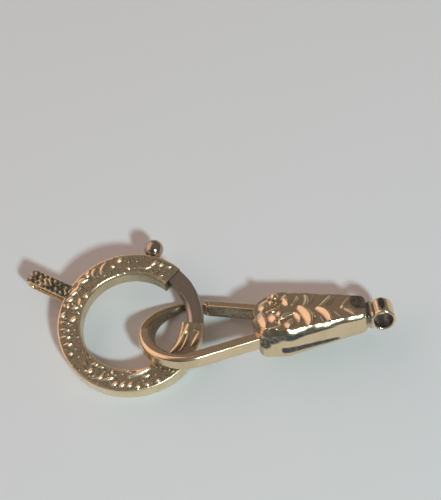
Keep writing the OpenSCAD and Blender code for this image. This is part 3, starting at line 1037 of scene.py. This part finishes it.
@dataclass
class HookBody:
    """The hollow cast body with its raised leaves.

    The pairs top, bottom, edge and drop hold for the round end and for the narrow end, and shares gives the
    steps of a spoke on the face, the edge, the side and the lower bend. What is named dark or shade is a
    share of the full dark tone, and what is named run gives where it starts, is full, still is full and
    ends.
    """

    end: Triple = (2.47, 0.0, 3.03)
    near_corner: Triple = (0.8, -2.1, 0.85)
    narrow_x: float = 9.25
    narrow_y: Pair = (-0.5, 0.95)
    narrow_r: float = 0.9
    top: Pair = (1.5, 1.4)
    bottom: Pair = (-1.5, -1.0)
    edge: Pair = (0.36, 0.26)
    drop: Pair = (0.72, 0.55)
    soft: float = 1.45
    low_r: float = 0.6
    centre: Pair = (3.9, 0.0)
    wave: Pair = (0.16, 2.3)
    ripple: Pair = (0.08, 6.1)
    sag: Pair = (0.3, 0.08)
    sag_x: Pair = (3.0, 8.5)
    sag_y: Pair = (0.3, -1.1)
    leaf_bend: Pair = (0.7, 0.3)
    ridge: float = 0.07
    ridge_bend: Pair = (0.45, 0.16)
    ridge_facing: Pair = (0.3, -0.2)
    ground: float = 0.08
    ground_bend: Pair = (0.35, 0.05)
    foot_reach: float = 0.15
    hollow_rise: Pair = (0.12, 0.0)
    hollow_dark: Pair = (0.25, 0.5)
    near_facing: float = -0.5
    under_edge: float = 0.9
    band_x: Quad = (2.2, 3.0, 4.2, 7.2)
    band_low: Quad = (1.2, 1.3, 1.02, 0.72)
    band_top: Pair = (0.52, 0.6)
    band_soft: float = 0.12
    band_run: Quad = (2.0, 2.5, 6.6, 7.4)
    blotches: tuple[Quad, ...] = ((1.05, 0.42, 1.0, 0.48), (1.9, 0.6, 0.65, 0.3), (0.55, -0.15, 0.55, 0.4))
    blotch_dark: float = 0.9
    seam_dark: float = 0.85
    seam_x: Pair = (9.72, 9.9)
    seam_z: Pair = (-0.6, 0.2)
    end_wall_shade: float = 0.45
    end_facing: Pair = (-0.4, -0.8)
    end_bend: float = 1.3
    corner_dark: float = 0.85
    corner: Quad = (9.45, 0.85, 1.0, 1.4)
    groove_depth: float = 0.07
    groove_x: Pair = (2.0, 7.5)
    groove_z: Pair = (-0.78, -0.68)
    groove_half: Pair = (0.36, 0.2)
    groove_run: Quad = (1.9, 2.3, 6.6, 7.6)
    groove_dark: Pair = (0.0, 0.35)
    gate_slot: Triple = (5.4, 1.12, 1.5)
    gate_slot_at: float = -2.3
    gate_swing: float = 2.3
    gate_run: Pair = (6.35, -1.53)
    shares: Quad = (0.56, 0.14, 0.12, 0.08)
    steps: int = 520
    down_steps: int = 150

    def outline(self) -> tuple[Array, Array]:
        """Walks round the body's plan at even steps.

        Returns:
            The points of the outline and its outward normals, with the first row again at the end.
        """
        narrow = [(self.narrow_x, y, self.narrow_r) for y in self.narrow_y]
        discs = np.array([self.end, self.near_corner, *narrow])
        normals = rays(np.radians(np.arange(0, 360, 0.5)))
        touched = discs[(normals @ discs[:, :2].T + discs[:, 2]).argmax(1)]
        points = touched[:, :2] + touched[:, 2:] * normals
        points, normals = (np.vstack([rows, rows[:1]]) for rows in (points, normals))
        points, normals = even_steps(points, self.steps, points, normals)
        return points, normals / np.linalg.norm(normals, axis=1)[:, None]

    def taper(self, x: Array, ends: Pair) -> Array:
        """Runs from the value at the round end to the one at the narrow end."""
        return np.interp(x, [self.end[0], self.narrow_x], ends)

    def shape(self) -> Shape:
        """Lays a grid over the body, from the middle of its face over the edge to its underside.

        Returns:
            The body's closed shape.
        """
        shape, u, down = sheet(self.steps, self.down_steps)
        points, normals = self.outline()
        spoke = np.rint(u * self.steps).astype(int)
        rim, out = points[spoke], normals[spoke]
        stops = np.cumsum([0, *self.shares])
        on_face, turned, side, low, under = (
            np.clip((down - stop) / share, 0, 1) for stop, share in zip(stops, (*self.shares, 1 - stops[4])))
        bend, low_bend = turned * np.pi / 2, low * np.pi / 2
        wavy = 1 + self.wave[0] * np.sin(self.wave[1] * rim[:, 0])
        wavy = wavy + self.ripple[0] * np.sin(self.ripple[1] * rim[:, 0] + 1)
        edge = (self.taper(rim[:, 0], self.edge) * wavy)[:, None]
        centre = np.array(self.centre)
        place = centre + (rim - out * edge - centre) * on_face[:, None]
        place = place + out * edge * (np.sin(bend) ** self.soft)[:, None]
        x, y = place.T
        top, bottom = self.taper(x, self.top), self.taper(x, self.bottom)
        bottom = bottom - np.interp(x, self.sag_x, self.sag) * ease(*self.sag_y, y)
        z = top - self.taper(rim[:, 0], self.drop) * (1 - np.cos(bend) ** self.soft)
        z = z + side * (bottom + self.low_r - z) - self.low_r * np.sin(low_bend)
        place = place - out * (self.low_r * (1 - np.cos(low_bend)))[:, None]
        place = place + (centre - place) * under[:, None]
        z, recess = self.chase(place, out, z, bend)
        on_wall, near_side = down < stops[4], out[:, 1] < self.near_facing
        recess = np.max([
            recess,
            near_side * on_wall * (bend > self.under_edge) * self.tarnish(x, z, top - z),
            self.seam_dark * ease(*self.seam_x, place[:, 0]) * ease(*self.seam_z, z),
            # Painted shade on the walls that face out of the round end.
            self.end_wall_shade * ease(*self.end_facing, out[:, 0]) * (bend > self.end_bend) * on_wall,
            self.corner_dark * spots(x, place[:, 1], self.corner) * (down < stops[3])], axis=0)
        deep = self.groove(place[:, 0], z) * near_side * (down > stops[2]) * on_wall
        place = place - out * self.groove_depth * deep[:, None]
        return formed(shape, np.column_stack([place, z]), np.maximum(recess, ease(*self.groove_dark, deep)))

    def tarnish(self, x: Array, z: Array, below: Array) -> Array:
        """Lays the dark band under the near edge and the dark blotches at its wide end.

        Args:
            x: Way of the vertices along the body.
            z: Heights of the vertices.
            below: How far the vertices lie under the face.

        Returns:
            How dark each vertex is.
        """
        lower = np.interp(x, self.band_x, self.band_low)
        band = ease(*self.band_top, below) * ease(lower, lower - self.band_soft, below)
        return np.maximum(band * between(x, *self.band_run), self.blotch_dark * spots(x, z, *self.blotches))

    def chase(self, place: Array, out: Array, z: Array, bend: Array) -> tuple[Array, Array]:
        """Raises the leaves and the rim from the face.

        Args:
            place: Plan places of the vertices.
            out: Outward normals of the plan.
            z: Heights of the vertices.
            bend: How far the edge has turned down at each vertex, in radians.

        Returns:
            The new heights and how deep each vertex lies between the leaves.
        """
        rise = ornament(HOOK_LEAVES, *place.T) * ease(*self.leaf_bend, bend)
        near = foot(HOOK_LEAVES, *place.T, self.foot_reach)
        ground = ease(*self.ground_bend, bend)
        ridge = self.ridge * hump(self.ridge_bend, bend) * ease(*self.ridge_facing, out[:, 0])
        between_leaves = ground * ease(*self.hollow_rise, rise) * mixed(self.hollow_dark, near)
        return z + rise + ridge - self.ground * ground, between_leaves

    def groove(self, x: Array, z: Array) -> Array:
        """Draws the long tarnished groove low in the near side.

        Args:
            x: Way of the vertices along the body.
            z: Heights of the vertices.

        Returns:
            How deep it is at each vertex, from 0 to 1.
        """
        level, half = (np.interp(x, self.groove_x, ends) for ends in (self.groove_z, self.groove_half))
        return ease(half, half / 3, np.abs(z - level)) * between(x, *self.groove_run)

    def gate_room(self) -> Shape:
        """Makes the wedge-shaped room that the gate swings in.

        Returns:
            The closed wedge.
        """
        tool = bmesh.new()
        bmesh.ops.create_cube(tool, size=1, matrix=Matrix.Translation((self.gate_slot_at, 0, 0))
                              @ Matrix.Diagonal((*self.gate_slot, 1)))
        for vert in tool.verts:
            if vert.co.x < 0 and vert.co.y < 0:
                vert.co.y -= self.gate_swing
        aim = Matrix.Rotation(math.atan2(self.gate_run[1], self.gate_run[0]), 4, "Z")
        bmesh.ops.transform(tool, matrix=Matrix.Translation(GATE_PIVOT) @ aim, verts=tool.verts)
        face_out(tool)
        return tool

    def build(self, shop: Workshop, place: Matrix) -> None:
        """Makes the body and opens the gate's room in it."""
        body = shop.piece("hook_body_shell", self.shape(), place, HOOK_GOLD, Slot.HOOK, "root", "hook_body")
        shop.cut(body, self.gate_room(), place)


@dataclass
class HookLoop:
    """The fixed arm, the broad round tip and the nose.

    The loop's outer edge and its hole are discs, given by their middle and radius.
    """

    outer: Triple = (-6.75, -0.1, 4.55)
    hole: Triple = (-6.3, 0.05, 3.9)
    blend: float = 0.16
    arm_w: float = 1.1
    arm_h: float = 1.3
    arm_z: float = -0.26
    arm_len: float = 6.9
    arm_turn: float = 19.7
    nose: Pair = (-4.78, 3.35)
    nose_aim: Pair = (0.972, -0.235)
    nose_from: float = -273.0
    nose_w: float = 1.0
    nose_drop: float = 7.0
    nose_lip: Pair = (-5.16, -5.26)
    slope: float = 0.48
    slope_x: Pair = (-7.0, -9.6)
    crescent_x: Pair = (-4.5, -7.5)
    edge: float = 0.2
    crescent_edge: float = 0.12
    crescent_dark: float = 0.05
    fullest_edge: float = 0.8
    inner_facing: Pair = (-0.6, -0.9)
    inner_wall_shade: float = 0.75
    nose_ease: float = 0.6
    arm_steps: int = 90
    tip_steps: int = 260
    nose_steps: int = 70
    steps: int = 420
    round_steps: int = 48

    def stations(self) -> list[Array]:
        """Finds the outer and inner edge of the loop's plan at every step.

        Returns:
            The outer points and the inner points.
        """
        lean = np.radians(self.arm_turn)
        run, out = np.array([np.cos(lean), np.sin(lean)]), np.array([np.sin(lean), -np.cos(lean)])
        middle, radius = np.array(self.outer[:2]), self.outer[2]
        start = middle + (radius - self.arm_w / 2) * out
        arm = np.linspace(1, 0, self.arm_steps)[:, None] * self.arm_len * run + start
        around = np.linspace(np.radians(-90 + self.arm_turn), np.radians(self.nose_from), self.tip_steps)[1:]
        ray = rays(around)
        offset = np.array(self.hole[:2]) - middle
        along = ray @ offset
        reach = along + np.sqrt(along ** 2 - offset @ offset + self.hole[2] ** 2)
        blend = ease(0, self.blend, np.linspace(0, 1, len(around)))
        reach = (radius - self.arm_w) * (1 - blend) + reach * blend
        outer, inner = middle + radius * ray, middle + reach[:, None] * ray
        nose_share = np.linspace(0, 1, self.nose_steps + 1)[1:, None] ** self.nose_ease
        nose = np.array(self.nose)
        nose_side = np.array([-self.nose_aim[1], self.nose_aim[0]]) * self.nose_w / 2
        outer = np.vstack([arm + out * self.arm_w / 2, outer,
                           outer[-1] + (nose + nose_side - outer[-1]) * nose_share])
        inner = np.vstack([arm - out * self.arm_w / 2, inner,
                           inner[-1] + (nose - nose_side - inner[-1]) * nose_share])
        return even_steps((outer + inner) / 2, self.steps, outer, inner)

    def shape(self) -> Shape:
        """Sweeps a squared section along the loop, with a sloping inner wall at its tip.

        Returns:
            The loop's closed shape.
        """
        shape, u, v = sheet(self.steps, self.round_steps)
        step = np.rint(u * self.steps).astype(int)
        far_edge, near_edge = (rows[step] for rows in self.stations())
        middle, x = (far_edge + near_edge) / 2, far_edge[:, 0]
        half_w = np.linalg.norm(far_edge - near_edge, axis=1) / 2
        out = (far_edge - near_edge) / (2 * half_w[:, None])
        top_drop = np.maximum(np.radians(self.nose_drop) * (far_edge[:, 1] - 0.2), 0) * (x < -2)
        top_drop = top_drop * ease(*self.nose_lip, middle[:, 0])
        half_h = (self.arm_h - top_drop) / 2
        crescent = ease(*self.crescent_x, x)
        edge = np.minimum(self.edge + self.crescent_edge * crescent, self.fullest_edge * half_w)
        across, up, sideways, _ = squared_section(v, half_w, half_h, edge, bottom=0.12)
        inward = ease(*self.slope_x, x) * (across < 0) * (half_h - up) / (2 * half_h)
        place = middle + out * (across - self.slope * inward)[:, None]
        # Painted shade on the walls that face the loop's hole.
        recess = np.maximum(self.inner_wall_shade * ease(*self.inner_facing, sideways),
                            self.crescent_dark * crescent)
        return formed(shape, np.column_stack([place, self.arm_z - top_drop / 2 + up]), recess)

    def build(self, shop: Workshop, place: Matrix) -> None:
        """Makes the loop, soldered into the body's end and resting on its nose."""
        shop.piece("hook_loop", worn_flat(self.shape(), place), place, LOOP_GOLD, Slot.HOOK, "root")


@dataclass
class EndEye:
    """The short tube of the end eye on its neck."""

    x: float = 11.47
    z: float = 0.3
    radius: float = 1.12
    bore: float = 0.85
    length: float = 2.1
    soft: float = 0.08
    bevel: Pair = (0.02, 0.03)
    neck_from: float = 9.5
    neck_into: float = 0.1
    neck_w: float = 2.55
    neck_h: float = 1.8
    neck_edge: float = 0.35
    waist: float = 0.12
    waist_x: Pair = (9.7, 10.6)
    seam_run: Quad = (9.75, 9.95, 10.25, 10.5)
    seam_dark: float = 0.9
    seam_z: Pair = (-0.4, 0.1)
    seam_parts: Pair = (0.25, 0.75)
    bore_shade: float = 0.85
    bore_rim: Pair = (0.1, 0.02)
    top_dark_reflection: Quad = (-0.05, 0.2, 0.34, 1.0)
    segments: int = 96
    wall_cuts: int = 8
    neck_steps: int = 40

    def tube(self) -> Shape:
        """Spins the tube's wall, with softened rims, round its own axis.

        Returns:
            The tube's closed shape.
        """
        shape = bmesh.new()
        half = self.length / 2
        rim = [(self.bore, -half + self.soft), (self.bore + self.soft, -half),
               (self.radius - self.soft, -half), (self.radius - self.bevel[0], -half + self.bevel[1]),
               (self.radius, -half + self.soft)]
        verts = [shape.verts.new((r, y, 0)) for r, y in rim + [(r, -y) for r, y in reversed(rim)]]
        edges = [shape.edges.new(pair) for pair in zip(verts, verts[1:] + verts[:1])]
        bmesh.ops.subdivide_edges(shape, edges=[edges[len(rim) - 1], edges[-1]], cuts=self.wall_cuts)
        bmesh.ops.spin(shape, geom=shape.verts[:] + shape.edges[:], cent=ORIGIN, axis=(0, 1, 0),
                       angle=math.tau, steps=self.segments, use_merge=True)
        spun = coords(shape)
        x, y, z = spun.T
        # Painted shade inside the eye's bore, fading out at its rim.
        deep = self.bore_shade * ease(*(self.bore + rim for rim in self.bore_rim), np.hypot(x, z))
        # The oval on the tube's top is a painted dark reflection.
        recess = np.maximum(deep, spots(x, y, self.top_dark_reflection) * (z > 0))
        return formed(shape, spun + (self.x, 0, self.z), recess)

    def neck(self) -> Shape:
        """Makes the waisted block between the body and the tube.

        Returns:
            The neck's closed shape.
        """
        shape, u, v = sheet(self.neck_steps, self.neck_steps)
        neck_to = self.x - self.bore - self.neck_into
        x = self.neck_from + u * (neck_to - self.neck_from)
        waist = 1 - self.waist * np.sin(np.pi * ease(*self.waist_x, x))
        across, up, _, _ = squared_section(
            v, waist * self.neck_w / 2, waist * self.neck_h / 2, self.neck_edge)
        recess = self.seam_dark * between(x, *self.seam_run) * mixed(self.seam_parts, ease(*self.seam_z, up))
        return formed(shape, np.column_stack([x, across, up + self.z]), recess)

    def build(self, shop: Workshop, place: Matrix) -> None:
        """Makes the eye's tube and its neck."""
        shop.piece("end_eye_tube", self.tube(), place, EYE_GOLD, Slot.HOOK, "root")
        shop.piece("end_eye_neck", self.neck(), place, EYE_GOLD, Slot.HOOK, "root")


@dataclass
class Gate:
    """The swinging gate bar and the pin that carries it."""

    tip: Pair = (-4.7, 3.33)
    tail: float = 0.6
    width: float = 1.0
    height: float = 1.3
    edge: float = 0.18
    side_facing: Pair = (0.7, 0.95)
    side_shade: float = 0.75
    dark: float = 0.12
    tip_share: float = 0.97
    pin_r: float = 0.4
    pin_len: float = 2.98
    pearl_r: float = 0.42
    pearl_z: float = 1.62
    steps: int = 120
    round_steps: int = 48

    def bar(self) -> Shape:
        """Makes the bar from its pivot to its curved tip.

        Returns:
            The bar's closed shape.
        """
        shape, u, v = sheet(self.steps, self.round_steps)
        start, tip = np.array(GATE_PIVOT[:2]), np.array(self.tip)
        reach = np.linalg.norm(tip - start)
        run = (tip - start) / reach
        side = np.array([-run[1], run[0]])
        along = -self.tail + u * (reach + self.tail)
        across, up, sideways, _ = squared_section(v, self.width / 2, self.height / 2, self.edge)
        curved = np.sqrt(np.maximum(along ** 2 - across ** 2, 0))
        along = np.where(u > self.tip_share, curved, along)
        place = start + run * along[:, None] + side * across[:, None]
        # Painted shade on the gate's near side, which faces the hook's arm.
        recess = np.maximum(self.side_shade * ease(*self.side_facing, sideways), self.dark)
        return formed(shape, np.column_stack([place, up + GATE_PIVOT[2]]), recess)

    def pin(self) -> Shape:
        """Makes the pin with its pearl-like head.

        Returns:
            The pin's shape.
        """
        shape = bmesh.new()
        rod(shape, self.pin_r, self.pin_len)
        shift(shape, (0, 0, self.pearl_z), ball(shape, self.pearl_r, 40, 24))
        shift(shape, (*GATE_PIVOT[:2], 0))
        face_out(shape)
        return shape

    def build(self, shop: Workshop, place: Matrix) -> None:
        """Makes the gate on its own body and the pin on the hook's."""
        shop.piece("gate_bar", self.bar(), place, LOOP_GOLD, Slot.HOOK, "gate", "hook_gate")
        shop.piece("gate_pin_pearl", self.pin(), place, PEARL_GOLD, Slot.POLISHED, "root", "gate_pin")


@dataclass(frozen=True)
class Lamp:
    """A soft area light that looks at the object, with its lengths in metres."""

    name: str
    towards: Triple
    size: Pair
    watts: float
    colour: Triple
    away: float = 0.5

    def hang(self) -> None:
        """Hangs the light in the scene."""
        light = bpy.data.lights.new(self.name, "AREA")
        light.shape = "RECTANGLE"
        light.size, light.size_y = self.size
        light.energy = self.watts
        light.color = self.colour
        towards = Vector(self.towards)
        holder = put_in_scene(self.name, light)
        holder.location = towards.normalized() * self.away
        holder.rotation_euler = towards.to_track_quat("Z", "Y").to_euler()


@dataclass
class Studio:
    """The pale floor, the soft lights and the camera at the photograph's angle, with lengths in metres."""

    key: Lamp = Lamp("key", (0.56, -1.128, 1.0), (0.052, 0.052), 1.62, (0.72, 0.94, 1.0))
    window: Lamp = Lamp("warm_window", (-0.66, 0.38, 0.48), (0.95, 0.55), 1.42, (1.0, 0.7, 0.6))
    room: tuple[Triple, Triple, Triple] = ((0.07, 0.075, 0.09), (0.225, 0.19, 0.165), (0.21, 0.175, 0.165))
    target: Triple = (0.001939, 0.007635, 0.0)
    distance: float = 0.091776
    elevation: float = 56.654
    roll: float = -6.298
    focal_px: float = 900.0
    image_w: int = 441
    sensor: float = 36.0
    near_clip: float = 0.005
    floor_half: float = 0.5
    floor_colour: Triple = (0.85, 0.85, 0.85)

    def floor(self) -> None:
        """Lays a plain pale floor."""
        shape = bmesh.new()
        bmesh.ops.create_grid(shape, x_segments=1, y_segments=1, size=self.floor_half)
        paper = bpy.data.materials.new("pale_floor")
        paper.use_nodes = True
        set_inputs(paper.node_tree.nodes["Principled BSDF"], {
            "Base Color": (*self.floor_colour, 1), "Roughness": 0.9, "Specular IOR Level": 0.2})
        floor = put_in_scene("floor", mesh_of("floor", shape, paper))

    def dim_room(self) -> None:
        """Surrounds the object with a dim room: its front cool, its sides and back warm."""
        world = bpy.data.worlds.new("dim_room")
        world.use_nodes = True
        tree = world.node_tree
        where, parts, stretch, ramp = (tree.nodes.new("ShaderNode" + kind) for kind in (
            "TexCoord", "SeparateXYZ", "MapRange", "ValToRGB"))
        set_inputs(stretch, {"From Min": -1})
        bands = ramp.color_ramp.elements
        bands.new(0.5)
        for band, colour in zip(bands, self.room):
            band.color = (*colour, 1)
        tree.links.new(where.outputs["Generated"], parts.inputs[0])
        link(tree, parts, stretch, {"Y": "Value"})
        link(tree, stretch, ramp, {"Result": "Fac"})
        link(tree, ramp, tree.nodes["Background"], {"Color": "Color"})
        bpy.context.scene.world = world

    def camera(self) -> None:
        """Sets the camera at the photograph's viewing angle."""
        lift, tilt = math.radians(self.elevation), math.radians(self.roll)
        back = Vector((0, -math.cos(lift), math.sin(lift)))
        level, rise = Vector((1, 0, 0)), Vector((0, math.sin(lift), math.cos(lift)))
        right = math.cos(tilt) * level + math.sin(tilt) * rise
        up = -math.sin(tilt) * level + math.cos(tilt) * rise
        lens = bpy.data.cameras.new("camera")
        lens.sensor_fit = "HORIZONTAL"
        lens.sensor_width = self.sensor
        lens.lens = self.focal_px * self.sensor / self.image_w
        lens.clip_start = self.near_clip
        holder = put_in_scene("camera", lens)
        holder.matrix_world = (Matrix.Translation(Vector(self.target) + self.distance * back)
                               @ Matrix((right, up, back)).transposed().to_4x4())
        bpy.context.scene.camera = holder

    def build(self) -> None:
        """Sets up the whole studio."""
        bpy.context.scene.view_settings.view_transform = "Standard"
        self.floor()
        self.key.hang()
        self.window.hang()
        self.dim_room()
        self.camera()


def main() -> None:
    """Builds the ring, the hook and the studio in order."""
    logging.basicConfig(level=logging.INFO, format="%(message)s")
    shop = Workshop()
    for maker in (RingTube(), Bail(), RingBolt()):
        maker.build(shop, ring_placement())
    for maker in (HookBody(), HookLoop(), EndEye(), Gate()):
        maker.build(shop, hook_placement())
    Studio().build()


if __name__ == "__main__":
    main()
